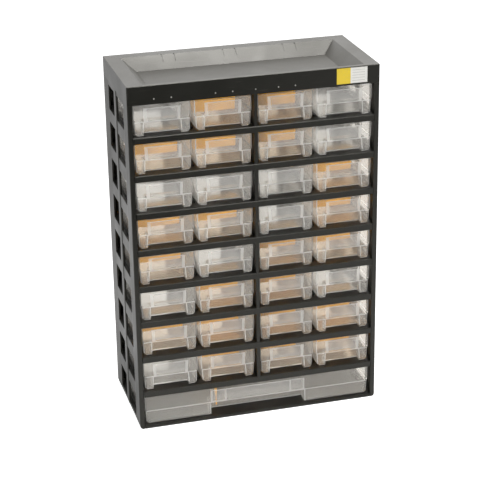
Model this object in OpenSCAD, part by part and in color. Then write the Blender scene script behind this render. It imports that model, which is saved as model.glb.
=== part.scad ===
// Parts bin cabinet: a moulded carcass with 32 small drawers in eight rows and one wide drawer below.
// Millimetres. The cabinet stands on z = 0, centred in x and y, and its front faces -y.

/* [Small drawer] */
// Width over the upper, wider part
drawer_w = 69; // [50:1:90]
// Length from the front to the rear wall
drawer_l = 110; // [95:1:140]
// Height
drawer_h = 36; // [33:0.5:48]
// Thickness of every drawer wall and floor
drawer_wall = 1.3; // [1:0.1:2]
// Height of the step where the tub gets wider
step_z = 17.5; // [12:0.5:22]
// How much the tub gets wider on each side at the step
step_w = 0.9; // [0.6:0.1:3]
// Radius of the long bottom edges
bottom_edge_r = 3; // [1.5:0.5:4]

/* [Drawer front] */
// Width of each front leg beside the finger recess
leg_w = 12; // [8:0.5:16]
// Depth of the finger recess
recess_d = 10.5; // [6:0.5:16]
// Thickness of the pull ledge above the recess
ledge_t = 1.4; // [1:0.1:2.5]
// Width of the upright strips that hold the paper label
label_rib_w = 3.7; // [3:0.1:6]
// Depth of the pocket for the paper label
label_pocket_d = 1.1; // [0.6:0.1:2]
// How far the pocket's upper end stays below the drawer's top
label_drop = 4; // [2:0.5:8]

/* [Divider plates] */
// Thickness of a divider plate
plate_t = 1.5; // [1:0.1:2.5]
// Distance of the plate from the drawer's front
plate_y = 64.5; // [40:0.5:85]
// Distance of the empty slot from the drawer's front
slot_y = 32; // [20:0.5:38]
// How far the plate's top stays below the drawer's top
plate_drop = 3; // [1:0.5:8]
// Gap between a plate and the drawer walls
plate_clear = 0.2; // [0.1:0.05:0.5]
// Thickness and depth of the ribs that form a slot
slot_rib = 0.8; // [0.5:0.1:1.2]

/* [Bottom drawer] */
// Width of its finger recess
wide_recess_w = 122; // [80:1:160]
// Depth of its finger recess
wide_recess_d = 17; // [10:0.5:24]
// Width of the label frame at each end of the recess
frame_w = 20; // [14:1:30]
// Width of the frame's strips
frame_strip = 2.4; // [1.5:0.1:4]
// Height of the frame's sill
frame_sill = 1; // [0.6:0.1:2]
// Angle of the spare plate that stands in the drawer, its rear end turned to the right
spare_angle = 12; // [0:1:20]
// Distance of the spare plate from the middle of the drawer
spare_x = 42.6; // [30:0.1:90]

/* [Running gaps] */
// Gap beside the outer drawers
side_gap = 1.5; // [1:0.1:3]
// Gap between neighbouring drawers
drawer_gap = 4; // [2:0.5:8]
// Free height above a drawer
head_gap = 3.1; // [2:0.1:6]
// How far the drawer fronts stand behind the carcass front
drawer_setback = 6; // [3:0.5:10]
// Free length behind the drawers
rear_room = 19.5; // [10:0.5:40]
// Height at which a drawer runs above its shelf
run_gap = 0.3; // [0.2:0.05:0.6]

/* [Carcass] */
// Width of the side posts
post_w = 6; // [5:0.5:10]
// Depth of the side posts
post_d = 8; // [6:0.5:12]
// Width of the centre post
centre_post_w = 4; // [3.2:0.1:8]
// Thickness of the centre divider behind its post
centre_web_t = 2; // [1.2:0.1:3]
// How far the centre post stands behind the carcass front
centre_setback = 0.8; // [0:0.1:2]
// Depth of the centre post
centre_post_d = 5; // [4:0.5:8]
// Thickness of the side panels
skin_t = 2; // [1.5:0.1:3]
// Thickness of the back panel
back_t = 2.5; // [2:0.1:4]
// Thickness of the base panel
base_t = 3.4; // [2.5:0.1:6]
// Height of a shelf's front rail
rail_h = 7.4; // [5:0.1:12]
// Depth of a shelf's front rail
rail_d = 3; // [2:0.1:5]
// Thickness of a shelf
shelf_t = 2; // [1.5:0.1:3]
// Length of the closed strip at a shelf's front
shelf_front_l = 17.5; // [14:0.5:30]
// Length of the closed strip at a shelf's rear
shelf_rear_l = 14; // [8:0.5:24]
// How far a shelf reaches under each side of a drawer between these strips
shelf_runner_w = 7; // [4:0.5:14]
// Thickness of the side ledges under the shelves
side_ledge_t = 2.4; // [1.5:0.1:4]
// Radius of the bottom corners of the sides
corner_r = 4.5; // [2:0.5:5]
// Radius of the upright front edges
edge_r = 1.6; // [0.6:0.1:3]
// Chamfer of the rails and of the cap's top edge
edge_chamfer = 0.6; // [0.3:0.1:1.2]
// Gap between the carcass pieces where one fits beside another
fit_gap = 0.2; // [0.1:0.05:0.4]

/* [Side windows] */
// Height of a window
window_h = 31; // [20:0.5:33]
// How far a window's sill stands above the shelf
window_sill = 2.5; // [1:0.5:5]
// Distance of the front windows from the front
window_y = 26.5; // [20:0.5:34]
// Length of the front windows
window_front_l = 40; // [25:0.5:43]
// Width of the upright strip between the two columns of windows
window_mid_w = 12.5; // [8:0.5:16]
// Length of the bevels beside that strip
mid_bevel = 1.5; // [0.5:0.1:3]
// Distance of the rear windows from the back
window_rear = 24; // [20:0.5:40]
// Radius of the window corners
window_r = 1.5; // [0.5:0.5:4]
// How far the bands between the windows are sunk
band_sink = 0.8; // [0.4:0.1:1.2]
// Length of the slope from the front strip down to the bands
front_slope_l = 6; // [2:0.5:10]
// Length of the slope from the bands up to the rear strip
rear_slope_l = 17; // [6:0.5:18]

/* [Top cap] */
// Height of the cap and its fascia
cap_h = 22.8; // [18:0.1:40]
// Thickness of the cap's skirts
skirt_t = 2.5; // [1.8:0.1:4]
// Thickness of the cap's top and of the tray floor
cap_t = 2; // [1.5:0.1:3]
// Width of the flat border at the sides
border_side = 18.3; // [12:0.1:30]
// Width of the flat border at the back
border_back = 16.5; // [10:0.1:30]
// Width of the rim at the front
border_front = 5; // [4:0.1:20]
// Depth of the tray
tray_drop = 14; // [8:0.5:15]
// Run of the tray's sloping walls
tray_run = 16; // [8:0.5:20]
// Height of the sunk strip along the fascia's lower edge
strip_h = 7.4; // [4:0.1:10]
// Depth of the sunk strip
strip_d = 0.4; // [0.2:0.05:0.8]
// Radius of the pips on the strip
pip_r = 0.9; // [0.5:0.1:1.5]
// Distance of each pip from the middle of its drawer
pip_x = 10.3; // [6:0.1:16]
// How far the pips lie below the strip's upper edge
pip_drop = 1.1; // [1:0.1:3]
// Height of the tabs that hold the cap
tab_h = 6; // [3:0.5:9]
// Thickness of the tabs
tab_t = 2; // [1.2:0.1:3]
// Distance between the two grooves of a pair in the tray's rear wall
groove_pair_w = 15.5; // [10:0.5:24]
// Width of a groove
groove_w = 1.6; // [1:0.1:3]
// Depth of a groove
groove_d = 0.8; // [0.4:0.1:1.2]
// Length of a groove along the slope, seen from above
groove_l = 8; // [4:0.5:12]

/* [Label] */
// Width of the label
label_w = 38; // [20:1:60]
// Thickness of the label
label_t = 0.4; // [0.2:0.05:0.6]
// Distance of the label from the cabinet's right side
label_x = 15.7; // [10:0.1:60]
// Distance of the label from the cap's top
label_head = 1.4; // [0.8:0.1:3]
// Distance of the label from the cap's lower edge
label_foot = 2.2; // [0.8:0.1:8]
// How far the label's face stays behind the fascia
label_sink = 0.1; // [0.05:0.05:0.3]

/* [Guides and back panel] */
// Height of the guide rails on the shelves
guide_h = 2.5; // [1.5:0.5:6]
// Thickness of the guide rails
guide_t = 1.2; // [0.8:0.1:2]
// Gap between a guide rail and the drawer
guide_gap = 0.8; // [0.5:0.1:1.5]
// Distance of the guide rails from the front
guide_y = 16; // [10:1:30]
// Distance of the guide rails from the back
guide_rear = 32; // [24:1:60]
// Width of the uprights between the back panel's windows
back_post_w = 17; // [10:1:26]

/* [Hidden] */
ROWS = 8;

// Which small drawers hold a divider plate, row by row from the top, left to right.
HAS_PLATE = [[0, 1, 1, 0], [1, 1, 1, 0], [0, 0, 0, 1], [1, 1, 0, 1],
    [1, 0, 1, 1], [0, 1, 1, 0], [1, 1, 1, 1], [0, 1, 1, 1]];

PLASTIC = [0.15, 0.15, 0.14];
CLEAR = [0.80, 0.80, 0.77, 0.55];
ORANGE = [0.90, 0.55, 0.12];
PAPER = [0.93, 0.92, 0.88];

// Sizes of the whole, from the drawers outwards
opening_h = run_gap + drawer_h + head_gap;
bay_w = 2 * drawer_w + drawer_gap + 2 * side_gap;
clear_w = 2 * bay_w + centre_post_w;
cabinet_w = clear_w + 2 * post_w;
cabinet_d = drawer_setback + drawer_l + rear_room + back_t;
cabinet_h = base_t + (ROWS + 1) * opening_h + ROWS * rail_h + cap_h;
carcass_top = cabinet_h - cap_h;
drawer_low_w = drawer_w - 2 * step_w;
wide_w = clear_w - 2 * side_gap;
wide_low_w = wide_w - 2 * step_w;
skin_in = band_sink + skin_t;
inside_y = cabinet_d - back_t - fit_gap;
over = 1;

// Top face of shelf i, counted from the top; the base panel is shelf ROWS + 1
function shelf_top(i) = carcass_top - i * opening_h - (i - 1) * rail_h;
// Middle of the drawers in column c, counted from the left
function drawer_x(c) = (c < 3 ? -1 : 1) * (centre_post_w + bay_w) / 2
    + (c % 2 == 1 ? -1 : 1) * (drawer_w + drawer_gap) / 2;
// Points of an arc, for rounded outlines
function arc(cx, cy, r, a0, a1, n = 4) =
    [for (i = [0:n]) [cx + r * cos(a0 + (a1 - a0) * i / n), cy + r * sin(a0 + (a1 - a0) * i / n)]];

// Puts y = 0 at the cabinet's front
module from_front() translate([0, -cabinet_d / 2, 0]) children();
// Box given by its lowest and highest corners
module span(lo, hi) translate(lo) cube(hi - lo);
// Extrudes an outline drawn in x and z along y
module along_y(l) translate([0, l, 0]) rotate([90, 0, 0]) linear_extrude(l) children();
// Extrudes an outline drawn in y and z along x, centred
module along_x(l) rotate([90, 0, 90]) translate([0, 0, -l / 2]) linear_extrude(l) children();
module mirrored() { children(); mirror([1, 0, 0]) children(); }

/* Drawers */

// Outline of the tub from the front: narrow below the step, rounded at the bottom edges
module tub_outline(w) {
    low = w / 2 - step_w;
    r = bottom_edge_r;
    polygon(concat(arc(-low + r, r, r, 180, 270), arc(low - r, r, r, 270, 360),
        [[low, step_z], [w / 2, step_z], [w / 2, drawer_h], [-w / 2, drawer_h],
         [-w / 2, step_z], [-low, step_z]]));
}

// Ribs on both side walls that hold a plate across the drawer at distance y
module slot_ribs(y) {
    foot = drawer_low_w / 2 - drawer_wall - slot_rib;
    head = drawer_w / 2 - drawer_wall - slot_rib;
    off = plate_t / 2 + plate_clear;
    for (y0 = [y - off - slot_rib, y + off])
        mirrored() {
            span([foot, y0, drawer_wall], [foot + slot_rib + drawer_wall / 2, y0 + slot_rib, step_z]);
            span([head, y0, step_z], [head + slot_rib + drawer_wall / 2, y0 + slot_rib,
                drawer_h - plate_drop]);
        }
}

// A divider plate, stepped like the tub; it stands on the floor between the slot ribs
module plate() {
    foot = drawer_low_w / 2 - drawer_wall - plate_clear;
    head = drawer_w / 2 - drawer_wall - plate_clear;
    bottom = drawer_wall + plate_clear;
    shoulder = step_z + bottom;
    translate([0, -plate_t / 2, 0]) along_y(plate_t)
        polygon([[-foot, bottom], [foot, bottom], [foot, shoulder], [head, shoulder],
            [head, drawer_h - plate_drop], [-head, drawer_h - plate_drop], [-head, shoulder],
            [-foot, shoulder]]);
}

// Tub with a finger recess, its front thicker above the recess
module tub(w, recess_w, depth) {
    low = w / 2 - step_w;
    t = drawer_wall;
    difference() {
        union() {
            difference() {
                along_y(drawer_l) tub_outline(w);
                span([-low + t, t, t], [low - t, drawer_l - t, drawer_h + over]);
                span([-w / 2 + t, t, step_z + t], [w / 2 - t, drawer_l - t, drawer_h + over]);
            }
            span([-recess_w / 2 - t, 0, 0], [recess_w / 2 + t, depth + t, step_z]);
            span([-recess_w / 2, 0, step_z], [recess_w / 2, label_pocket_d + t, drawer_h]);
        }
        span([-recess_w / 2, -over, -over], [recess_w / 2, depth, step_z - ledge_t]);
    }
}

// The small drawer's own front: pocket for a paper label between two upright strips
module small_tub() {
    recess_w = drawer_low_w - 2 * leg_w;
    pocket_w = recess_w - 2 * label_rib_w;
    difference() {
        tub(drawer_w, recess_w, recess_d);
        span([-pocket_w / 2, -over, step_z], [pocket_w / 2, label_pocket_d, drawer_h - label_drop]);
    }
    slot_ribs(plate_y);
    slot_ribs(slot_y);
}

module small_drawer(row, col) {
    from_front() translate([drawer_x(col), drawer_setback, shelf_top(row) + run_gap]) {
        color(CLEAR) small_tub();
        if (HAS_PLATE[row - 1][col - 1] == 1)
            color(ORANGE) translate([0, plate_y, 0]) plate();
    }
}

// The wide drawer below: its front has a framed label window at each end of the recess
module wide_tub() {
    edge = wide_recess_w / 2;
    difference() {
        tub(wide_w, wide_recess_w, wide_recess_d);
        span([-edge + frame_w, -over, step_z], [edge - frame_w, label_pocket_d, drawer_h - label_drop]);
        mirrored() span([edge - frame_w + frame_strip, -over, step_z + frame_sill],
            [edge - frame_strip, label_pocket_d, drawer_h - label_drop]);
    }
}

module drawer_bottom() {
    color(CLEAR) from_front() translate([0, drawer_setback, base_t + run_gap]) wide_tub();
}

// A spare plate that stands in the wide drawer, its front end close behind the recess
module spare_plate() {
    half = drawer_w / 2 - drawer_wall - plate_clear;
    reach = half * cos(spare_angle) + plate_t / 2 * sin(spare_angle);
    y = drawer_setback + wide_recess_d + drawer_wall + 2 * plate_clear + reach;
    color(ORANGE) from_front() translate([-spare_x, y, base_t + run_gap])
        rotate([0, 0, 90 - spare_angle]) plate();
}

/* Carcass */

// Plan of the left side panel: front post, skin with sunk bands, rear post. x = 0 is the outer face.
module side_plan() {
    mid0 = window_y + window_front_l;
    mid1 = mid0 + window_mid_w;
    rear = cabinet_d - window_rear;
    polygon(concat(
        [[0, cabinet_d], [0, rear + rear_slope_l], [band_sink, rear], [band_sink, mid1],
         [0, mid1 - mid_bevel], [0, mid0 + mid_bevel], [band_sink, mid0],
         [band_sink, window_y], [0, window_y - front_slope_l]],
        arc(edge_r, edge_r, edge_r, 180, 270),
        [[post_w - edge_chamfer, 0], [post_w, edge_chamfer], [post_w, post_d], [skin_in, post_d],
         [skin_in, cabinet_d - post_d], [post_w, cabinet_d - post_d], [post_w, cabinet_d]]));
}

// A window through the skin from y0 to y1, with rounded corners
module window(y0, y1, z0) {
    l = y1 - y0;
    translate([-over, y0, z0]) rotate([90, 0, 90]) linear_extrude(skin_in + 2 * over) {
        translate([window_r, 0]) square([l - 2 * window_r, window_h]);
        translate([0, window_r]) square([l, window_h - 2 * window_r]);
        for (y = [window_r, l - window_r], z = [window_r, window_h - window_r])
            translate([y, z]) circle(r = window_r, $fn = 24);
    }
}

module side_panel() {
    color(PLASTIC) from_front() translate([-cabinet_w / 2, 0, 0]) difference() {
        union() {
            linear_extrude(carcass_top) side_plan();
            for (i = [1:ROWS])
                side_ledge(shelf_top(i) - shelf_t);
            side_ledge(carcass_top);
            span([skirt_t + fit_gap, post_d + over, carcass_top - side_ledge_t],
                [skirt_t + fit_gap + tab_t, cabinet_d - post_d - over, carcass_top + tab_h]);
        }
        for (i = [1:ROWS + 1]) {
            window(window_y, window_y + window_front_l, shelf_top(i) + window_sill);
            window(window_y + window_front_l + window_mid_w, cabinet_d - window_rear,
                shelf_top(i) + window_sill);
        }
        // rounded bottom corner
        translate([0, -over, 0]) along_y(cabinet_d + 2 * over) difference() {
            translate([-over, -over]) square(corner_r + over);
            translate([corner_r, corner_r]) circle(r = corner_r, $fn = 48);
        }
    }
}

// Ledge that carries a shelf whose underside is at z
module side_ledge(z) span([skin_in - skin_t / 2, post_d - skin_t, z - side_ledge_t],
    [post_w, cabinet_d - post_d + skin_t, z]);

module side_panel_left() side_panel();
module side_panel_right() mirror([1, 0, 0]) side_panel();

// Plan of the shelves and of the base panel: it steps out behind the side posts
module shelf_plan() {
    front_w = clear_w - 2 * fit_gap;
    wide = cabinet_w - 2 * skin_in - 2 * fit_gap;
    translate([-front_w / 2, 0]) square([front_w, inside_y]);
    translate([-wide / 2, post_d + fit_gap]) square([wide, cabinet_d - 2 * post_d - 2 * fit_gap]);
}

// Guide rails beside each drawer of a row
module guides(centres, low_w) {
    for (x = centres, side = [-1, 1])
        translate([x + side * (low_w / 2 + guide_gap + guide_t / 2) - guide_t / 2, guide_y, -over / 2])
            cube([guide_t, cabinet_d - guide_y - guide_rear, guide_h + over / 2]);
}

// Section of a shelf's front rail, its upper edge chamfered
module rail_section(h) polygon([[0, -h], [rail_d, -h], [rail_d, 0], [edge_chamfer, 0], [0, -edge_chamfer]]);

// Shelf under row i: open under the middle of each drawer
module shelf(i) {
    web = centre_web_t + 2 * fit_gap;
    half = drawer_low_w / 2 - shelf_runner_w;
    color(PLASTIC) from_front() translate([0, 0, shelf_top(i)]) difference() {
        union() {
            translate([0, 0, -shelf_t]) linear_extrude(shelf_t) shelf_plan();
            along_x(clear_w - 2 * fit_gap) rail_section(rail_h);
            guides([for (c = [1:4]) drawer_x(c)], drawer_low_w);
        }
        // chamfer of the plate above the rail
        along_x(clear_w) polygon([[-over, over], [-over, -edge_chamfer - over],
            [edge_chamfer + over, over]]);
        for (c = [1:4])
            span([drawer_x(c) - half, shelf_front_l, -shelf_t - over],
                [drawer_x(c) + half, inside_y - shelf_rear_l, over]);
        // slot from the rear for the centre divider
        if (i < ROWS)
            span([-web / 2, cabinet_d / 2, -rail_h - over], [web / 2, cabinet_d, over]);
    }
}

module base_panel() {
    color(PLASTIC) from_front() {
        difference() {
            linear_extrude(base_t) shelf_plan();
            translate([0, 0, base_t]) along_x(clear_w) polygon([[-over, over],
                [-over, -edge_chamfer - over], [edge_chamfer + over, over]]);
        }
        translate([0, 0, base_t]) guides([0], wide_low_w);
    }
}

// Upright plate between the two bays, slotted from the front so that the shelves pass through
module centre_divider() {
    foot = shelf_top(ROWS);
    head = cabinet_h - tray_drop - cap_t;
    color(PLASTIC) from_front() difference() {
        union() {
            span([-centre_post_w / 2, centre_setback, foot],
                [centre_post_w / 2, centre_setback + centre_post_d, carcass_top]);
            span([-centre_web_t / 2, centre_setback + centre_post_d - over, foot],
                [centre_web_t / 2, inside_y, carcass_top]);
            span([-centre_web_t / 2, border_front + tray_run, carcass_top - over],
                [centre_web_t / 2, cabinet_d - border_back - tray_run, head]);
        }
        for (i = [1:ROWS - 1]) {
            span([-centre_post_w, -over, shelf_top(i) - rail_h - fit_gap],
                [centre_post_w, rail_d + fit_gap, shelf_top(i) + fit_gap]);
            span([-centre_post_w, 0, shelf_top(i) - shelf_t - fit_gap],
                [centre_post_w, cabinet_d / 2 + fit_gap, shelf_top(i) + fit_gap]);
        }
    }
}

// Lattice behind the drawers, with a window for each column on every level
module back_panel() {
    w = clear_w - 2 * fit_gap;
    half = (drawer_w + drawer_gap - back_post_w) / 2;
    color(PLASTIC) from_front() difference() {
        span([-w / 2, cabinet_d - back_t, 0], [w / 2, cabinet_d, carcass_top]);
        for (i = [1:ROWS + 1], c = [1:4])
            span([drawer_x(c) - half, cabinet_d - back_t - over, shelf_top(i) + window_sill],
                [drawer_x(c) + half, cabinet_d + over, shelf_top(i) + window_sill + window_h]);
    }
}

// Block with sloping walls below z = 0: half width and ends at the top, depth and height above z = 0
module dish(half_w, y0, y1, drop, rise) intersection() {
    translate([0, y0, 0]) along_y(y1 - y0)
        polygon([[-half_w, rise], [half_w, rise], [half_w, 0], [half_w - tray_run, -drop],
            [-half_w + tray_run, -drop], [-half_w, 0]]);
    along_x(2 * half_w) polygon([[y0, rise], [y1, rise], [y1, 0], [y1 - tray_run, -drop],
        [y0 + tray_run, -drop], [y0, 0]]);
}

// The cap's outer block, its upright front edges rounded and its top edges chamfered
module cap_block() {
    w = cabinet_w / 2;
    c = edge_chamfer;
    intersection() {
        translate([0, 0, carcass_top]) linear_extrude(cap_h)
            polygon(concat(arc(-w + edge_r, edge_r, edge_r, 180, 270),
                arc(w - edge_r, edge_r, edge_r, 270, 360), [[w, cabinet_d], [-w, cabinet_d]]));
        along_y(cabinet_d) polygon([[-w, 0], [w, 0], [w, cabinet_h - c], [w - c, cabinet_h],
            [-w + c, cabinet_h], [-w, cabinet_h - c]]);
        along_x(cabinet_w) polygon([[0, 0], [cabinet_d, 0], [cabinet_d, cabinet_h - c],
            [cabinet_d - c, cabinet_h], [c, cabinet_h], [0, cabinet_h - c]]);
    }
}

module top_tray() {
    half = cabinet_w / 2 - border_side;
    y1 = cabinet_d - border_back;
    color(PLASTIC) from_front() {
        difference() {
            union() {
                difference() {
                    cap_block();
                    span([-cabinet_w / 2 + skirt_t, skirt_t, carcass_top - over],
                        [cabinet_w / 2 - skirt_t, cabinet_d - skirt_t, cabinet_h - cap_t]);
                }
                translate([0, 0, cabinet_h - cap_t])
                    dish(half + cap_t, border_front - cap_t, y1 + cap_t, tray_drop, cap_t / 2);
            }
            translate([0, 0, cabinet_h]) dish(half, border_front, y1, tray_drop, over);
            // sunk strip along the fascia's lower edge
            span([-cabinet_w / 2 - over, -over, carcass_top - over],
                [cabinet_w / 2 + over, strip_d, carcass_top + strip_h]);
            label_pocket();
            tray_grooves();
        }
        pips();
    }
}

// Pairs of grooves that run down the tray's rear wall, at the quarters of its width
module tray_grooves() {
    y1 = cabinet_d - border_back;
    slope = tray_drop / tray_run;
    for (x = [-1, 0, 1] * cabinet_w / 4, side = [-1, 1])
        translate([x + side * groove_pair_w / 2, 0, cabinet_h]) along_x(groove_w)
            polygon([[y1, over], [y1, -groove_d], [y1 - groove_l, -groove_l * slope - groove_d],
                [y1 - groove_l, over]]);
}

module label_pocket() {
    x1 = cabinet_w / 2 - label_x;
    span([x1 - label_w - fit_gap, -over, carcass_top + label_foot - fit_gap],
        [x1 + fit_gap, label_t + label_sink, cabinet_h - label_head + fit_gap]);
}

// Round pips on the sunk strip, a pair above each column but the one under the label
module pips() {
    z = carcass_top + strip_h - pip_drop;
    for (x = concat([0], [for (c = [1:3], side = [-1, 1]) drawer_x(c) + side * pip_x]))
        translate([x, strip_d + skirt_t / 2, z]) rotate([90, 0, 0])
            cylinder(r = pip_r, h = strip_d + skirt_t / 2, $fn = 24);
}

module fascia_label() {
    x1 = cabinet_w / 2 - label_x;
    color(PAPER) from_front() span([x1 - label_w, label_sink, carcass_top + label_foot],
        [x1, label_sink + label_t, cabinet_h - label_head]);
}

side_panel_left();
side_panel_right();
top_tray();
base_panel();
back_panel();
centre_divider();
fascia_label();
shelf(1);  // shelf_1
shelf(2);  // shelf_2
shelf(3);  // shelf_3
shelf(4);  // shelf_4
shelf(5);  // shelf_5
shelf(6);  // shelf_6
shelf(7);  // shelf_7
shelf(8);  // shelf_8
small_drawer(1, 1);  // drawer_r1_c1
small_drawer(1, 2);  // drawer_r1_c2
small_drawer(1, 3);  // drawer_r1_c3
small_drawer(1, 4);  // drawer_r1_c4
small_drawer(2, 1);  // drawer_r2_c1
small_drawer(2, 2);  // drawer_r2_c2
small_drawer(2, 3);  // drawer_r2_c3
small_drawer(2, 4);  // drawer_r2_c4
small_drawer(3, 1);  // drawer_r3_c1
small_drawer(3, 2);  // drawer_r3_c2
small_drawer(3, 3);  // drawer_r3_c3
small_drawer(3, 4);  // drawer_r3_c4
small_drawer(4, 1);  // drawer_r4_c1
small_drawer(4, 2);  // drawer_r4_c2
small_drawer(4, 3);  // drawer_r4_c3
small_drawer(4, 4);  // drawer_r4_c4
small_drawer(5, 1);  // drawer_r5_c1
small_drawer(5, 2);  // drawer_r5_c2
small_drawer(5, 3);  // drawer_r5_c3
small_drawer(5, 4);  // drawer_r5_c4
small_drawer(6, 1);  // drawer_r6_c1
small_drawer(6, 2);  // drawer_r6_c2
small_drawer(6, 3);  // drawer_r6_c3
small_drawer(6, 4);  // drawer_r6_c4
small_drawer(7, 1);  // drawer_r7_c1
small_drawer(7, 2);  // drawer_r7_c2
small_drawer(7, 3);  // drawer_r7_c3
small_drawer(7, 4);  // drawer_r7_c4
small_drawer(8, 1);  // drawer_r8_c1
small_drawer(8, 2);  // drawer_r8_c2
small_drawer(8, 3);  // drawer_r8_c3
small_drawer(8, 4);  // drawer_r8_c4
drawer_bottom();
spare_plate();
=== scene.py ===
import math

import bmesh
import bpy
from mathutils import Euler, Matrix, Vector


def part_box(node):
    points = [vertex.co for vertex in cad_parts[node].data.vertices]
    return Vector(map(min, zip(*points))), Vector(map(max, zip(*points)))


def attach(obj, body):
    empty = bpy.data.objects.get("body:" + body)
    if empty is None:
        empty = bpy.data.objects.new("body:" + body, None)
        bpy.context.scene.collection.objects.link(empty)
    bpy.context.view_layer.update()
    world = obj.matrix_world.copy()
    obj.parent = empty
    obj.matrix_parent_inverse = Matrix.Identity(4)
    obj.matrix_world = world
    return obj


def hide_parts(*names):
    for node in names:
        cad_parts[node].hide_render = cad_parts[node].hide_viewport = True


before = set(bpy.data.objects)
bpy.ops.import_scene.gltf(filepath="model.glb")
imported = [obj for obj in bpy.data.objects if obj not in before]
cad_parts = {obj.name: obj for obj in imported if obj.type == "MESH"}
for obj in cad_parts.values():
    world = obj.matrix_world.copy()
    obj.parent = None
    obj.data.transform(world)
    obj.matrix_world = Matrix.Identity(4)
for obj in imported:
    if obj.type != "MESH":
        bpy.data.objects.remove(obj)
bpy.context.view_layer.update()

# Camera: stands in front of the cabinet, a little to its left and above it, with a long lens.
# Its place and turn meet the cabinet's straight edges. Lens and sensor in millimetres, turn in degrees.
camera_place = (-0.5004, -1.8387, 0.9850)
camera_turn = (67.799, 0.859, -15.482)
camera_lens = 123.62
camera_sensor = 36.0

camera_data = bpy.data.cameras.new("camera")
camera_data.lens = camera_lens
camera_data.sensor_width = camera_sensor
camera = bpy.data.objects.new("camera", camera_data)
camera.location = camera_place
camera.rotation_euler = Euler([math.radians(a) for a in camera_turn])
bpy.context.scene.collection.objects.link(camera)
bpy.context.scene.camera = camera


# Side panels, shelves, base, centre divider and back: injection moulded in near-black plastic with a
# fine spark-eroded grain. The pieces snap together. Light scuffs and a little dust show on them.
carcass_black = (0.0075, 0.0075, 0.0055)
carcass_pale = (0.22, 0.21, 0.19)
carcass_gloss = 0.45
gloss_tint = (1.0, 0.98, 0.92)
grain_scale = 2200.0
grain_depth = 0.00004
grain_strength = 0.35
flow_scale = 16.0
flow_range = (0.3, 0.7)
flow_gain = 1.5
flow_share = 0.3
scuff_turns = (0.5, -1.1)
scuff_stretch = (30.0, 700.0, 700.0)
scuff_range = (0.69, 0.76)
scuff_share = 0.12
patch_range = (0.45, 0.62)
upward_range = (0.3, 0.8)
speck_scale = 900.0
speck_range = (0.4, 0.75)
dust_share = 0.08
smoother = 0.04
rougher = 0.06


def put(tree, kind, inputs=(), **settings):
    """A shader node with its settings; inputs is a dict of socket to value or to another node's output."""
    made = tree.nodes.new("ShaderNode" + kind)
    for name, value in settings.items():
        setattr(made, name, value)
    for name, value in dict(inputs).items():
        if isinstance(value, bpy.types.NodeSocket):
            tree.links.new(value, made.inputs[name])
        else:
            made.inputs[name].default_value = value
    return made


def blend_colours(tree, factor, first, second):
    """The colour between first and second at factor."""
    mix = put(tree, "Mix", {0: factor, 6: first, 7: second}, data_type="RGBA")
    return mix.outputs[2]


def spread(tree, value, low, high, low_out=0.0, high_out=1.0):
    """Value mapped from low..high to low_out..high_out, clamped."""
    return put(tree, "MapRange", {0: value, 1: low, 2: high, 3: low_out, 4: high_out}).outputs[0]


def make_group(name, inputs, outputs):
    """An empty shader node group with float or vector inputs and float outputs."""
    group = bpy.data.node_groups.new(name, "ShaderNodeTree")
    for label, kind in inputs:
        group.interface.new_socket(name=label, in_out="INPUT", socket_type=kind)
    for label in outputs:
        group.interface.new_socket(name=label, in_out="OUTPUT", socket_type="NodeSocketFloat")
    return group, group.nodes.new("NodeGroupInput"), group.nodes.new("NodeGroupOutput")


def moulded_surface_group():
    """Grain, slow flow marks, thin scuffs and settled dust of a moulded face."""
    sockets = (("Vector", "NodeSocketVector"), ("Grain Scale", "NodeSocketFloat"),
               ("Flow Scale", "NodeSocketFloat"))
    group, given, result = make_group("moulded_surface", sockets,
                                      ("Grain", "Flow", "Scuffs", "Upward", "Dust"))
    place = given.outputs["Vector"]
    grain = put(group, "TexNoise", {"Vector": place, "Scale": given.outputs["Grain Scale"], "Detail": 2.0})
    flow = put(group, "TexNoise", {"Vector": place, "Scale": given.outputs["Flow Scale"], "Detail": 3.0,
                                   "Distortion": 0.6})
    streaks = []
    for turn in scuff_turns:
        along = put(group, "Mapping", {"Vector": place, "Rotation": (turn, turn, turn),
                                       "Scale": scuff_stretch})
        noise = put(group, "TexNoise", {"Vector": along.outputs[0], "Scale": 1.0, "Detail": 1.0})
        streaks.append(spread(group, noise.outputs["Fac"], *scuff_range))
    scuffs = put(group, "Math", {0: streaks[0], 1: streaks[1]}, operation="MAXIMUM")
    patches = spread(group, flow.outputs["Fac"], *patch_range)
    worn = put(group, "Math", {0: scuffs.outputs[0], 1: patches}, operation="MULTIPLY")
    facing = put(group, "SeparateXYZ", {0: put(group, "NewGeometry").outputs["Normal"]})
    upward = spread(group, facing.outputs["Z"], *upward_range)
    specks = put(group, "TexNoise", {"Vector": place, "Scale": speck_scale, "Detail": 3.0})
    dust = put(group, "Math", {0: upward, 1: spread(group, specks.outputs["Fac"], *speck_range)},
               operation="MULTIPLY")
    for label, value in (("Grain", grain.outputs["Fac"]), ("Flow", flow.outputs["Fac"]),
                         ("Scuffs", worn.outputs[0]), ("Upward", upward), ("Dust", dust.outputs[0])):
        group.links.new(value, result.inputs[label])
    return group


moulded_surface = moulded_surface_group()


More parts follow.
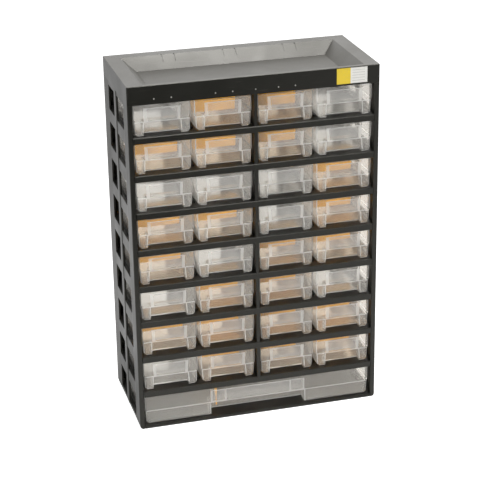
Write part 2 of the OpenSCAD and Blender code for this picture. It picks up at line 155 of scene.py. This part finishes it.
def moulded_plastic(name, colour, pale, roughness, gloss=0.5, top_matt=0.0, top_sheen_and_wear=0.0):
    """Opaque moulded plastic: colour, the paler tone of scuffs, dust and painted sheen, its roughness and
    its gloss.
    Upward faces can be more matt, and painted towards the paler tone: partly wear, partly a painted sheen
    of the light from above."""
    material = bpy.data.materials.new(name)
    material.use_nodes = True
    tree = material.node_tree
    shader = tree.nodes["Principled BSDF"]
    place = put(tree, "TexCoord").outputs["Object"]
    surface = put(tree, "Group", node_tree=moulded_surface)
    tree.links.new(place, surface.inputs["Vector"])
    surface.inputs["Grain Scale"].default_value = grain_scale
    surface.inputs["Flow Scale"].default_value = flow_scale
    shade = spread(tree, surface.outputs["Flow"], *flow_range, 0.0, flow_share)
    tone = blend_colours(tree, shade, (*colour, 1), (*[c * flow_gain for c in colour], 1))
    # Scuffs and dust are real marks; the pale tone on upward faces is partly wear, partly a painted sheen
    # of the light from above.
    for mark, share in (("Scuffs", scuff_share), ("Dust", dust_share), ("Upward", top_sheen_and_wear)):
        amount = spread(tree, surface.outputs[mark], 0, 1, 0, share)
        tone = blend_colours(tree, amount, tone, (*pale, 1))
    tree.links.new(tone, shader.inputs["Base Color"])
    rough = spread(tree, surface.outputs["Flow"], *flow_range, roughness - smoother, roughness + rougher)
    matt = spread(tree, surface.outputs["Upward"], 0, 1, 0.0, top_matt)
    rough = put(tree, "Math", {0: rough, 1: matt}, operation="ADD").outputs[0]
    tree.links.new(rough, shader.inputs["Roughness"])
    shader.inputs["Specular IOR Level"].default_value = gloss
    shader.inputs["Specular Tint"].default_value = (*gloss_tint, 1)
    bump = put(tree, "Bump", {"Height": surface.outputs["Grain"], "Distance": grain_depth,
                              "Strength": grain_strength})
    tree.links.new(bump.outputs[0], shader.inputs["Normal"])
    return material


def dress(nodes, material):
    """Gives CAD nodes this material."""
    for name in nodes:
        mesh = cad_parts[name].data
        mesh.materials.clear()
        mesh.materials.append(material)


carcass_plastic = moulded_plastic("carcass_plastic", carcass_black, carcass_pale, roughness=0.36,
                                  gloss=carcass_gloss)
dress(["side_panel_left", "side_panel_right", "base_panel", "back_panel", "centre_divider"],
      carcass_plastic)
dress([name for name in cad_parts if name.startswith("shelf_")], carcass_plastic)


# Top cap with the sunk tray: one moulding in the same plastic. Things are set down on it, so its upper
# # faces are worn matt; their paler tone is partly wear and partly a painted sheen of the light from above.
# The pale heads of the pips along the front are a painted highlight, the glint on their rounded heads.
# The pale dots on the pip heads are a painted highlight, standing in for the glint on their rounded heads.
pip_places = (-0.1213, -0.1007, -0.0483, -0.0277, 0.0, 0.0277, 0.0483)
pip_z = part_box("top_tray")[1].z - 0.0165
pip_r = 0.0009
pip_core = 0.8
pip_glint_reach = (0.0001, 0.0003)
pip_glint_tone = (0.42, 0.41, 0.38)
cap_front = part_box("top_tray")[0].y


def paint_pip_glints(material):
    """Paints a pale highlight on the heads of the pips, which stand in a row along the front of the cap."""
    tree = material.node_tree
    shader = tree.nodes["Principled BSDF"]
    place = put(tree, "SeparateXYZ", {0: put(tree, "TexCoord").outputs["Object"]})
    nearest = 1.0
    for x in pip_places:
        aside = put(tree, "Math", {0: place.outputs["X"], 1: x}, operation="SUBTRACT")
        apart = put(tree, "Math", {0: aside.outputs[0]}, operation="ABSOLUTE")
        nearest = put(tree, "Math", {0: apart.outputs[0], 1: nearest}, operation="MINIMUM").outputs[0]
    above = put(tree, "Math", {0: place.outputs["Z"], 1: pip_z}, operation="SUBTRACT")
    offset = put(tree, "CombineXYZ", {0: nearest, 1: above.outputs[0]})
    distance = put(tree, "VectorMath", {0: offset.outputs[0]}, operation="LENGTH")
    head = spread(tree, distance.outputs["Value"], pip_r * pip_core, pip_r, 1.0, 0.0)
    front = spread(tree, place.outputs["Y"], *(cap_front + depth for depth in pip_glint_reach), 1.0, 0.0)
    # The painted highlight: a pale dot on each pip head, on the cap's front face.
    glint = put(tree, "Math", {0: head, 1: front}, operation="MULTIPLY")
    old = shader.inputs["Base Color"].links[0].from_socket
    tree.links.new(blend_colours(tree, glint.outputs[0], old, (*pip_glint_tone, 1)), shader.inputs["Base Color"])


# The cap's upper faces are painted paler: partly wear, partly a painted sheen of the overhead light.
cap_plastic = moulded_plastic("cap_plastic", carcass_black, carcass_pale, roughness=0.34,
                              gloss=carcass_gloss, top_matt=0.10, top_sheen_and_wear=0.19)
paint_pip_glints(cap_plastic)
dress(["top_tray"], cap_plastic)


# Label on the fascia: printed paper under a clear film, set in a shallow pocket. Its left part is
# yellow, and its right part is white with plain ruled lines to write on.
label_yellow = (0.85, 0.62, 0.03)
label_white = (0.84, 0.83, 0.78)
label_ink = (0.35, 0.34, 0.32)
label_yellow_share = 0.45
rule_spacing = 0.0032
rule_weight = 0.14
rule_strength = 0.6
rule_start = 0.002
rule_end = 0.003
rule_blur = 0.05
print_blur = 0.0002
fibre_scale = 700.0
fibre_depth = 0.00003
fade_range = (0.3, 0.7)
fade_share = 0.12
paper_roughness = 0.45


def label_material():
    """Printed paper: a yellow field, and a white field with rules."""
    low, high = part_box("fascia_label")
    material = bpy.data.materials.new("label_print")
    material.use_nodes = True
    tree = material.node_tree
    shader = tree.nodes["Principled BSDF"]
    place = put(tree, "TexCoord").outputs["Object"]
    across = put(tree, "SeparateXYZ", {0: place})
    edge = low.x + (high.x - low.x) * label_yellow_share
    white = spread(tree, across.outputs["X"], edge - print_blur / 2, edge + print_blur / 2)
    rows = put(tree, "Math", {0: across.outputs["Z"], 1: 1 / rule_spacing}, operation="MULTIPLY")
    row = put(tree, "Math", {0: rows.outputs[0]}, operation="FRACT")
    line = spread(tree, row.outputs[0], rule_weight, rule_weight + rule_blur, rule_strength, 0.0)
    margin = spread(tree, across.outputs["X"], edge + rule_start, edge + rule_start + print_blur)
    end = spread(tree, across.outputs["X"], high.x - rule_end - print_blur, high.x - rule_end, 1.0, 0.0)
    ruled = put(tree, "Math", {0: line, 1: margin}, operation="MULTIPLY")
    ruled = put(tree, "Math", {0: ruled.outputs[0], 1: end}, operation="MULTIPLY")
    paper = blend_colours(tree, ruled.outputs[0], (*label_white, 1), (*label_ink, 1))
    fibre = put(tree, "TexNoise", {"Vector": place, "Scale": fibre_scale, "Detail": 3.0})
    faded = spread(tree, fibre.outputs["Fac"], *fade_range, 0.0, fade_share)
    printed = blend_colours(tree, white, (*label_yellow, 1), paper)
    tree.links.new(blend_colours(tree, faded, printed, (*label_ink, 1)), shader.inputs["Base Color"])
    shader.inputs["Roughness"].default_value = paper_roughness
    bump = put(tree, "Bump", {"Height": fibre.outputs["Fac"], "Distance": fibre_depth, "Strength": 0.3})
    tree.links.new(bump.outputs[0], shader.inputs["Normal"])
    return material


dress(["fascia_label"], label_material())


# Drawers: clear polystyrene, injection moulded, with a slightly hazy skin from use. Light that runs
# inside the walls comes out at their edges, so rims, ledges and wall ends look pale and milky.
# Each is a tub with a step half-way up, tapered towards its foot so that it leaves the mould.
wall = 0.0013
drawer_h = 0.036
drawer_l = 0.110
step_z = 0.0175
step_w = 0.0009
step_rise = 0.0004
ledge_t = 0.0014
pocket_top = drawer_h - 0.004
pocket_d = 0.0011
brim = 0.0011  # the pale strip over the label pocket
bottom_r = 0.003
end_share = 0.3  # how far the foot is rounded at the tub's ends, as a share of its sides
cove_w = 0.0006  # the slope between the walls and the floor inside
cove_z = 0.0018
corner_r = 0.0018
inner_corner_r = corner_r - 0.001
corner_steps = 4
draft = 0.0009  # how far each side of the foot is drawn in
plate_y = 0.0645
slot_y = 0.032
plate_t = 0.0015
slot_clear = 0.0002
slot_rib = 0.0008
rib_drop = 0.003
edge_bevel = 0.00025
bevel_angle = 38
seam = 0.0006  # how far inside the tub's own wall an added wall or rib begins
overrun = 0.001  # how far outside the tub a cut begins
flat = 0.0003  # a face is split as part of a plane when all its corners are within this of it
weld = 0.00003  # corners closer than this become one
turned = 0.6  # a face looks along an axis when its normal has at least this much of it
near = 0.0004  # a face lies in a plane when its middle is within this of it
close = 0.0002  # the same where another face lies near by
haze_scale = 45.0
haze_range = (0.35, 0.65)
haze_rougher = 0.06
clear_ior = 1.08
clear_shadow = 0.06


def ring(half_w, front, rear, radius, z):
    """A level rounded rectangle, counter-clockwise seen from above."""
    points = []
    for sx, y, turn in ((1, rear, 0), (-1, rear, 90), (-1, front, 180), (1, front, 270)):
        centre_y = y - radius if y == rear else y + radius
        for i in range(corner_steps + 1):
            angle = math.radians(turn + 90 * i / corner_steps)
            points.append(Vector((sx * (half_w - radius) + radius * math.cos(angle),
                                  centre_y + radius * math.sin(angle), z)))
    return points


def mesh_object(name, mesh):
    """Turns a bmesh into an object in the scene."""
    data = bpy.data.meshes.new(name)
    bmesh.ops.recalc_face_normals(mesh, faces=mesh.faces)
    mesh.to_mesh(data)
    mesh.free()
    made = bpy.data.objects.new(name, data)
    bpy.context.scene.collection.objects.link(made)
    return made


def skin_rings(name, rings):
    """A closed mesh object that runs through the rings, with its first and last ring capped."""
    mesh = bmesh.new()
    loops = [[mesh.verts.new(p) for p in points] for points in rings]
    count = len(loops[0])
    for below, above in zip(loops, loops[1:]):
        for i in range(count):
            mesh.faces.new((below[i], below[(i + 1) % count], above[(i + 1) % count], above[i]))
    mesh.faces.new(reversed(loops[0]))
    mesh.faces.new(loops[-1])
    return mesh_object(name, mesh)


def block(low, high):
    """A box between two corners, used to add to or cut from a drawer."""
    mesh = bmesh.new()
    bmesh.ops.create_cube(mesh, size=1.0)
    for vertex in mesh.verts:
        vertex.co = Vector([low[i] + (vertex.co[i] + 0.5) * (high[i] - low[i]) for i in range(3)])
    return mesh_object("block", mesh)


def apply_modifiers(piece):
    """Replaces the piece's mesh by the one that its modifiers give."""
    shown = piece.evaluated_get(bpy.context.evaluated_depsgraph_get())
    mesh = bpy.data.meshes.new_from_object(shown)
    mesh.name = piece.name
    piece.modifiers.clear()
    old = piece.data
    piece.data = mesh
    bpy.data.meshes.remove(old)


def join_solids(piece, blocks, operation):
    """Adds blocks to the piece, or cuts them from it."""
    for extra in blocks:
        change = piece.modifiers.new("change", "BOOLEAN")
        change.operation = operation
        change.solver = "EXACT"
        change.object = extra
        apply_modifiers(piece)
        bpy.data.objects.remove(extra)


def tub_rings(low_half, top_half):
    """Rings up the outside, over the rim and down the inside of a stepped tub."""
    rings = []
    for i in range(corner_steps + 1):
        angle = math.radians(90 * i / corner_steps)
        inset = bottom_r * (1 - math.sin(angle))
        end = inset * end_share
        rise = bottom_r * (1 - math.cos(angle))
        rings.append(ring(low_half - inset, end, drawer_l - end, corner_r, rise))
    rings += [ring(low_half, 0, drawer_l, corner_r, step_z),
              ring(top_half, 0, drawer_l, corner_r, step_z + step_rise),
              ring(top_half, 0, drawer_l, corner_r, drawer_h)]
    inner = [(top_half - wall, drawer_h),
             (top_half - wall, step_z + wall + step_rise),
             (low_half - wall, step_z + wall),
             (low_half - wall, bottom_r),
             (low_half - wall - cove_w, cove_z),
             (low_half - bottom_r, wall)]
    return rings + [ring(half, wall, drawer_l - wall, inner_corner_r, z) for half, z in inner]


def slot_rib_blocks(low_half, top_half):
    """Small ribs on both side walls, in pairs that hold a plate in the rear or the front slot."""
    blocks = []
    gap = plate_t / 2 + slot_clear
    middle = step_z + slot_rib
    stages = ((low_half, slot_rib, middle), (top_half, middle, drawer_h - rib_drop))
    for y in (plate_y, slot_y):
        for y0 in (y - gap - slot_rib, y + gap):
            for side in (-1, 1):
                for half, z0, z1 in stages:
                    edges = sorted((side * (half - wall - slot_rib), side * (half - seam)))
                    blocks.append(block((edges[0], y0, z0), (edges[1], y0 + slot_rib, z1)))
    return blocks


def split_front(piece, cuts, plane_y=0.0):
    """Splits the faces in an upright plane at values of x (axis 0) and z (axis 2), so that the ends of
    the walls there get faces of their own."""
    mesh = bmesh.new()
    mesh.from_mesh(piece.data)
    for axis, value in cuts:
        faces = [f for f in mesh.faces if all(abs(v.co.y - plane_y) < flat for v in f.verts)]
        edges = list({e for f in faces for e in f.edges})
        verts = list({v for f in faces for v in f.verts})
        place, normal = Vector(), Vector()
        place[axis], normal[axis] = value, 1.0
        bmesh.ops.bisect_plane(mesh, geom=faces + edges + verts, plane_co=place, plane_no=normal)
    mesh.to_mesh(piece.data)
    mesh.free()


def give_draft(piece, low_half, recess=None):
    """Tapers the lower part of a drawer to its foot. With recess, a range of x and a reach in y, the
    edges of the finger recess and of the label pocket over it also spread towards the foot."""
    for vertex in piece.data.vertices:
        place = vertex.co
        fall = draft * (step_z - place.z) / step_z
        if abs(place.x) > low_half - bottom_r - draft and place.z < step_z:
            place.x -= math.copysign(fall, place.x)
        elif recess and recess[0] < abs(place.x) < recess[1] and place.y < recess[2]:
            place.x += math.copysign(fall, place.x)


def clean_mesh(piece):
    """Welds corners that all but meet, and takes out the faces and edges that this closes."""
    mesh = bmesh.new()
    mesh.from_mesh(piece.data)
    bmesh.ops.remove_doubles(mesh, verts=mesh.verts, dist=weld)
    bmesh.ops.dissolve_degenerate(mesh, edges=mesh.edges, dist=weld)
    mesh.to_mesh(piece.data)
    mesh.free()


def finish_drawer(piece, finish_of):
    """Small bevels, smooth shading, and for each face the finish that finish_of names."""
    clean_mesh(piece)
    for polygon in piece.data.polygons:
        polygon.use_smooth = True
    bevel = piece.modifiers.new("bevel", "BEVEL")
    bevel.width = edge_bevel
    bevel.segments = 2
    bevel.limit_method = "ANGLE"
    bevel.angle_limit = math.radians(bevel_angle)
    bevel.miter_outer = "MITER_ARC"
    bevel.harden_normals = True
    apply_modifiers(piece)
    data = piece.data
    data.materials.clear()
    finishes = list(clear_finishes)
    for name in finishes:
        data.materials.append(clear_finishes[name])
    for polygon in data.polygons:
        name = finish_of(polygon.center, polygon.normal)
        polygon.material_index = finishes.index(name)


def haze_group():
    """Cloudy patches of fine haze in the skin of clear plastic."""
    group, given, result = make_group("clear_plastic_haze", (("Vector", "NodeSocketVector"),), ("Haze",))
    clouds = put(group, "TexNoise", {"Vector": given.outputs["Vector"], "Scale": haze_scale, "Detail": 4.0,
                                     "Distortion": 0.8})
    group.links.new(spread(group, clouds.outputs["Fac"], *haze_range), result.inputs["Haze"])
    return group


clear_plastic_haze = haze_group()


def clear_plastic(name, colour, haze, roughness):
    """Clear plastic: its tint, how much milky haze shows in it, and its roughness. The walls are thin,
    so they bend light little and let most of it through in a shadow."""
    material = bpy.data.materials.new(name)
    material.use_nodes = True
    tree = material.node_tree
    shader = tree.nodes["Principled BSDF"]
    place = put(tree, "TexCoord").outputs["Object"]
    surface = put(tree, "Group", node_tree=clear_plastic_haze)
    tree.links.new(place, surface.inputs["Vector"])
    shader.inputs["Base Color"].default_value = (*colour, 1)
    shader.inputs["Transmission Weight"].default_value = 1.0 - haze
    shader.inputs["IOR"].default_value = clear_ior
    rough = spread(tree, surface.outputs["Haze"], 0, 1, roughness, roughness + haze_rougher)
    tree.links.new(rough, shader.inputs["Roughness"])
    shadow = put(tree, "LightPath").outputs["Is Shadow Ray"]
    tree.links.new(spread(tree, shadow, 0, 1, 1.0, clear_shadow), shader.inputs["Alpha"])
    return material


clear_finishes = {
    "wall": clear_plastic("clear_wall", (0.95, 0.935, 0.905), haze=0.06, roughness=0.08),
    "side": clear_plastic("clear_side", (0.88, 0.86, 0.825), haze=0.25, roughness=0.08),
    "edge": clear_plastic("clear_edge", (0.96, 0.95, 0.92), haze=0.42, roughness=0.2),
    "floor": clear_plastic("clear_floor", (0.94, 0.93, 0.90), haze=0.28, roughness=0.2),
    "label": clear_plastic("clear_label_face", (0.96, 0.95, 0.92), haze=0.24, roughness=0.18)}


def is_rim(centre, normal):
    """Whether a drawer's face belongs to its upper rim."""
    return normal.z > turned and centre.z > drawer_h - near


def is_floor(centre, normal):
    """Whether a drawer's face is the upper or lower side of its floor."""
    return abs(normal.z) > turned and centre.z < wall + close


def is_side(normal):
    """Whether a drawer's face is upright and looks left or right."""
    return abs(normal.x) > turned


def is_front(centre, normal):
    """Whether a drawer's face lies in its front plane."""
    return centre.y < near and normal.y < -turned


def is_recess_foot(centre, reach):
    """Whether a drawer's face is the front edge of its floor, at the foot of the recess's wall."""
    return centre.z < wall and abs(centre.y - reach) < near


def is_front_corner(centre, normal):
    """Whether a drawer's face belongs to an upright corner of its front."""
    slanted = normal.y < -0.5 and abs(normal.x) > 0.25
    return slanted and centre.y < corner_r / 2 and centre.z > bottom_r


def is_pocket_face(centre, normal):
    """Whether a drawer's face looks forward at the label pocket's height, in it or beside it."""
    return step_z < centre.z < pocket_top and centre.y < pocket_d + near and normal.y < -turned


def is_pocket_top(centre, normal):
    """Whether a drawer's face is the upper end of its label pocket."""
    return normal.z < -turned and abs(centre.z - pocket_top) < close


# Small drawer: stepped tub with a finger recess between two legs, a pull ledge over the recess and
# a pocket for a paper label above it. All thirty-two are the same moulding.
small_top_half = 0.0345
small_low_half = small_top_half - step_w
leg_w = 0.012
recess_half = small_low_half - leg_w
recess_d = 0.0105
label_rib_w = 0.0037
pocket_half = recess_half - label_rib_w


def small_drawer_mesh():
    """The moulding, its front at y = 0 and its foot at z = 0."""
    tub = skin_rings("small_drawer", tub_rings(small_low_half, small_top_half))
    edge = recess_half + wall
    ledge_z = step_z - ledge_t
    recess_wall = block((-edge, seam, seam), (edge, recess_d + wall, step_z))
    pocket_wall = block((-recess_half, seam, step_z - seam), (recess_half, pocket_d + wall, drawer_h))
    join_solids(tub, [recess_wall, pocket_wall], "UNION")
    join_solids(tub, slot_rib_blocks(small_low_half, small_top_half), "UNION")
    recess = block((-recess_half, -overrun, -overrun), (recess_half, recess_d, ledge_z))
    pocket = block((-pocket_half, -overrun, step_z), (pocket_half, pocket_d, pocket_top))
    join_solids(tub, [recess, pocket], "DIFFERENCE")
    split_front(tub, [(0, x) for x in (-small_low_half + wall, -edge, edge, small_low_half - wall)]
                + [(0, x) for x in (-recess_half, -pocket_half, pocket_half, recess_half)]
                + [(2, z) for z in (wall, ledge_z, step_z, pocket_top, pocket_top + brim)])
    split_front(tub, [(2, wall)], recess_d)
    give_draft(tub, small_low_half, (pocket_half - seam, edge + seam, recess_d + wall + seam))

    def finish_of(centre, normal):
        """Which finish a face has, by where it lies and looks."""
        x = abs(centre.x)
        if is_rim(centre, normal) or is_recess_foot(centre, recess_d):
            return "edge"
        if is_floor(centre, normal):
            return "floor"
        if is_pocket_face(centre, normal) and x < pocket_half:
            return "label"
        if is_front_corner(centre, normal) or is_pocket_top(centre, normal):
            return "edge"
        if not is_front(centre, normal):
            return "side" if is_side(normal) else "wall"
        if centre.z > step_z:
            return "edge" if x < recess_half and centre.z < pocket_top + brim else "wall"
        if centre.z > ledge_z or centre.z < wall:
            return "edge"
        return "edge" if x > small_low_half - wall or x < edge else "wall"

    finish_drawer(tub, finish_of)
    return tub


small_drawer = small_drawer_mesh()
small_nodes = sorted(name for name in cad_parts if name.startswith("drawer_r"))
for name in small_nodes:
    low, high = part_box(name)
    drawer = small_drawer.copy()
    drawer.name = name.replace("drawer", "small_drawer")
    drawer.location = ((low.x + high.x) / 2, low.y, low.z)
    bpy.context.scene.collection.objects.link(drawer)
    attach(drawer, name)
    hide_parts(name)
bpy.data.objects.remove(small_drawer)


# Divider plates: flat orange plates, stepped like the drawer, which drop between the ribs of a slot
# to part it in two. The same plastic family as the drawers, but opaque.
plate_colour = (0.80, 0.40, 0.025)
plate_pale = (0.84, 0.48, 0.08)
plate_clear = 0.0002
plate_top = drawer_h - 0.003
plate_bevel = 0.0003
drawers_with_plate = ("r1_c2", "r1_c3", "r2_c1", "r2_c2", "r2_c3", "r3_c4", "r4_c1", "r4_c2", "r4_c4",
                      "r5_c1", "r5_c3", "r5_c4", "r6_c2", "r6_c3", "r7_c1", "r7_c2", "r7_c3", "r7_c4",
                      "r8_c2", "r8_c3", "r8_c4")


def plate_mesh():
    """A plate that stands across a small drawer, its foot clear of the floor and the walls."""
    foot = small_low_half - wall - plate_clear
    head = small_top_half - wall - plate_clear
    bottom = wall + plate_clear
    shoulder = step_z + bottom
    toe = foot - draft
    outline = [(-toe, bottom), (toe, bottom), (foot, shoulder), (head, shoulder), (head, plate_top),
               (-head, plate_top), (-head, shoulder), (-foot, shoulder)]
    mesh = bmesh.new()
    rows = [[mesh.verts.new((x, y, z)) for x, z in outline] for y in (-plate_t / 2, plate_t / 2)]
    mesh.faces.new(rows[0])
    mesh.faces.new(reversed(rows[1]))
    for i in range(len(outline)):
        j = (i + 1) % len(outline)
        mesh.faces.new((rows[0][j], rows[0][i], rows[1][i], rows[1][j]))
    plate = mesh_object("plate", mesh)
    bevel = plate.modifiers.new("bevel", "BEVEL")
    bevel.width = plate_bevel
    bevel.segments = 2
    apply_modifiers(plate)
    plate.data.materials.append(plate_plastic)
    for polygon in plate.data.polygons:
        polygon.use_smooth = True
    plate.data.set_sharp_from_angle(angle=math.radians(40))
    return plate


plate_plastic = moulded_plastic("plate_plastic", plate_colour, plate_pale, roughness=0.4)
# Drawers with a plate get a floor tinted orange: a painted glow, standing in for the orange light the plate
# throws onto and through the clear floor.
plate_glow_floor = clear_plastic("clear_floor_painted_plate_glow", (0.93, 0.80, 0.64), haze=0.28, roughness=0.2)
plate = plate_mesh()
for label in drawers_with_plate:
    name = "drawer_" + label
    low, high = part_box(name)
    divider = plate.copy()
    divider.name = "divider_" + label
    divider.location = ((low.x + high.x) / 2, low.y + plate_y, low.z)
    bpy.context.scene.collection.objects.link(divider)
    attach(divider, name)
    # This drawer's floor takes the painted orange glow of its plate.
    slot = bpy.data.objects["small_drawer_" + label].material_slots["clear_floor"]
    slot.link = "OBJECT"
    slot.material = plate_glow_floor

# A spare plate stands in the bottom drawer, turned nearly front to back.
spare_turn = math.radians(78)
low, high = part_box("spare_plate")
spare = plate.copy()
spare.name = "spare_divider"
spare.rotation_euler = (0, 0, spare_turn)
spare.location = ((low.x + high.x) / 2, (low.y + high.y) / 2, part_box("drawer_bottom")[0].z)
bpy.context.scene.collection.objects.link(spare)
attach(spare, "drawer_bottom")
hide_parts("spare_plate")
bpy.data.objects.remove(plate)


# Bottom drawer: the same style at the full width. Its finger recess is in the middle, with a framed
# label window at each end of it.
wide_low, wide_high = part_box("drawer_bottom")
wide_top_half = (wide_high.x - wide_low.x) / 2
wide_low_half = wide_top_half - step_w
wide_recess_half = 0.061
wide_recess_d = 0.017
frame_w = 0.020
frame_end = wide_recess_half - frame_w
frame_strip = 0.0024
window_sill = 0.001


def bottom_drawer_mesh():
    """The moulding, made with its front at y = 0 and its foot at z = 0 and then set in its place."""
    tub = skin_rings("bottom_drawer", tub_rings(wide_low_half, wide_top_half))
    edge = wide_recess_half + wall
    ledge_z = step_z - ledge_t
    recess_wall = block((-edge, seam, seam), (edge, wide_recess_d + wall, step_z))
    pocket_wall = block((-wide_recess_half, seam, step_z - seam),
                        (wide_recess_half, pocket_d + wall, drawer_h))
    join_solids(tub, [recess_wall, pocket_wall], "UNION")
    windows = [block((x0, -overrun, step_z + window_sill), (x1, pocket_d, pocket_top))
               for x0, x1 in ((-wide_recess_half + frame_strip, -frame_end - frame_strip),
                              (frame_end + frame_strip, wide_recess_half - frame_strip))]
    recess = block((-wide_recess_half, -overrun, -overrun), (wide_recess_half, wide_recess_d, ledge_z))
    pocket = block((-frame_end, -overrun, step_z), (frame_end, pocket_d, pocket_top))
    join_solids(tub, [*windows, recess, pocket], "DIFFERENCE")
    ends = (edge, wide_low_half - wall, wide_recess_half, frame_end)
    split_front(tub, [(0, side * x) for side in (-1, 1) for x in ends]
                + [(2, z) for z in (wall, ledge_z, step_z, pocket_top + brim)])
    split_front(tub, [(2, wall)], wide_recess_d)
    give_draft(tub, wide_low_half)

    def finish_of(centre, normal):
        """Which finish a face has, by where it lies and looks."""
        x = abs(centre.x)
        if is_rim(centre, normal) or is_recess_foot(centre, wide_recess_d):
            return "edge"
        if is_floor(centre, normal):
            return "floor"
        if is_pocket_face(centre, normal) and x < wide_recess_half:
            return "edge" if centre.y < near and x > frame_end else "label"
        if is_front_corner(centre, normal):
            return "edge"
        if not is_front(centre, normal):
            return "side" if is_side(normal) else "wall"
        if centre.z > step_z:
            over_pocket = pocket_top < centre.z < pocket_top + brim
            return "edge" if over_pocket and x < wide_recess_half else "wall"
        if centre.z > ledge_z or centre.z < wall:
            return "edge"
        return "edge" if x > wide_low_half - wall or x < edge else "wall"

    finish_drawer(tub, finish_of)
    tub.location = ((wide_low.x + wide_high.x) / 2, wide_low.y, wide_low.z)
    return tub


bottom_drawer = bottom_drawer_mesh()
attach(bottom_drawer, "drawer_bottom")
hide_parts("drawer_bottom")


# Studio: a pale table whose front edge runs off to the right, a bright backdrop behind and beside the
# cabinet, a soft box overhead and a soft light from the front left. Table and backdrop glow by
# themselves where they are seen, mirrored or looked at through the drawers.
table_front = -0.52
table_corner = 0.01
table_slant = 1.875
table_reach = 4.0
table_grey = 0.65
table_seen = 0.9
table_mirrored = 0.42
table_through = 0.55
backdrop_seen = 1.0
backdrop_through = 0.96
backdrop_from = -0.3
backdrop_to = 0.6
backdrop_dim = 0.05
backdrop_bright = 1.75
ambient = 0.45


def set_table():
    """The table top: one flat sheet that takes the cabinet's shade, and glows where rays from the
    camera, a gloss or a clear wall meet it."""
    edge_x = table_corner + (table_reach + table_front) / table_slant
    mesh = bmesh.new()
    mesh.faces.new([mesh.verts.new((x, y, 0)) for x, y in (
        (-table_reach, table_reach), (-table_reach, table_front), (table_corner, table_front),
        (edge_x, -table_reach), (table_reach, -table_reach), (table_reach, table_reach))])
    made = mesh_object("floor", mesh)
    material = bpy.data.materials.new("floor")
    material.use_nodes = True
    tree = material.node_tree
    tree.nodes.clear()
    ray = put(tree, "LightPath")
    dull = put(tree, "BsdfDiffuse", {"Color": (table_grey, table_grey, table_grey, 1)})
    seen = put(tree, "Math", {0: ray.outputs["Is Camera Ray"], 1: ray.outputs["Is Transmission Ray"]},
               operation="MAXIMUM")
    direct = put(tree, "Math", {0: seen.outputs[0], 1: ray.outputs["Is Glossy Ray"]}, operation="MAXIMUM")
    indirect = spread(tree, ray.outputs["Is Transmission Ray"], 0, 1, table_mirrored, table_through)
    strength = spread(tree, ray.outputs["Is Camera Ray"], 0, 1, indirect, table_seen)
    glow = put(tree, "Emission", {"Color": (1, 1, 1, 1), "Strength": strength})
    lit = put(tree, "AddShader", {0: dull.outputs[0], 1: glow.outputs[0]})
    shown = put(tree, "MixShader", {0: direct.outputs[0], 1: dull.outputs[0], 2: lit.outputs[0]})
    put(tree, "OutputMaterial", {"Surface": shown.outputs[0]})
    made.data.materials.append(material)


set_table()


def set_backdrop():
    """Even light from all around. The backdrop is plain white where it is seen or looked at through
    the drawers, and gets brighter towards the rear where it is mirrored."""
    made = bpy.data.worlds.new("studio")
    bpy.context.scene.world = made
    made.use_nodes = True
    tree = made.node_tree
    tree.nodes.clear()
    ray = put(tree, "LightPath")
    direction = put(tree, "SeparateXYZ", {0: put(tree, "TexCoord").outputs["Generated"]})
    behind = spread(tree, direction.outputs["Y"], backdrop_from, backdrop_to, backdrop_dim,
                    backdrop_bright)
    around = put(tree, "Background", {"Color": (1, 1, 1, 1), "Strength": ambient})
    mirrored = put(tree, "Background", {"Color": (1, 1, 1, 1), "Strength": behind})
    strength = spread(tree, ray.outputs["Is Camera Ray"], 0, 1, backdrop_through, backdrop_seen)
    white = put(tree, "Background", {"Color": (1, 1, 1, 1), "Strength": strength})
    glossy = put(tree, "MixShader", {0: ray.outputs["Is Glossy Ray"], 1: around.outputs[0],
                                     2: mirrored.outputs[0]})
    seen = put(tree, "Math", {0: ray.outputs["Is Camera Ray"], 1: ray.outputs["Is Transmission Ray"]},
               operation="MAXIMUM")
    shown = put(tree, "MixShader", {0: seen.outputs[0], 1: glossy.outputs[0], 2: white.outputs[0]})
    put(tree, "OutputWorld", {"Surface": shown.outputs[0]})


set_backdrop()


def soft_light(name, place, aim, size, power):
    """A rectangular area light that looks at aim, its size in metres and its power in watts."""
    data = bpy.data.lights.new(name, "AREA")
    data.shape = "RECTANGLE"
    data.size, data.size_y = size
    data.energy = power
    lamp = bpy.data.objects.new(name, data)
    lamp.location = place
    lamp.rotation_euler = (Vector(aim) - Vector(place)).to_track_quat("-Z", "Y").to_euler()
    bpy.context.scene.collection.objects.link(lamp)


soft_light("overhead", (0.2, -0.12, 1.5), (0, 0, 0.4), (0.5, 0.5), 19.0)
soft_light("front_left", (-1.05, -1.8, 0.55), (0, 0, 0.22), (0.9, 0.6), 16.0)

bpy.context.scene.view_settings.view_transform = "Standard"
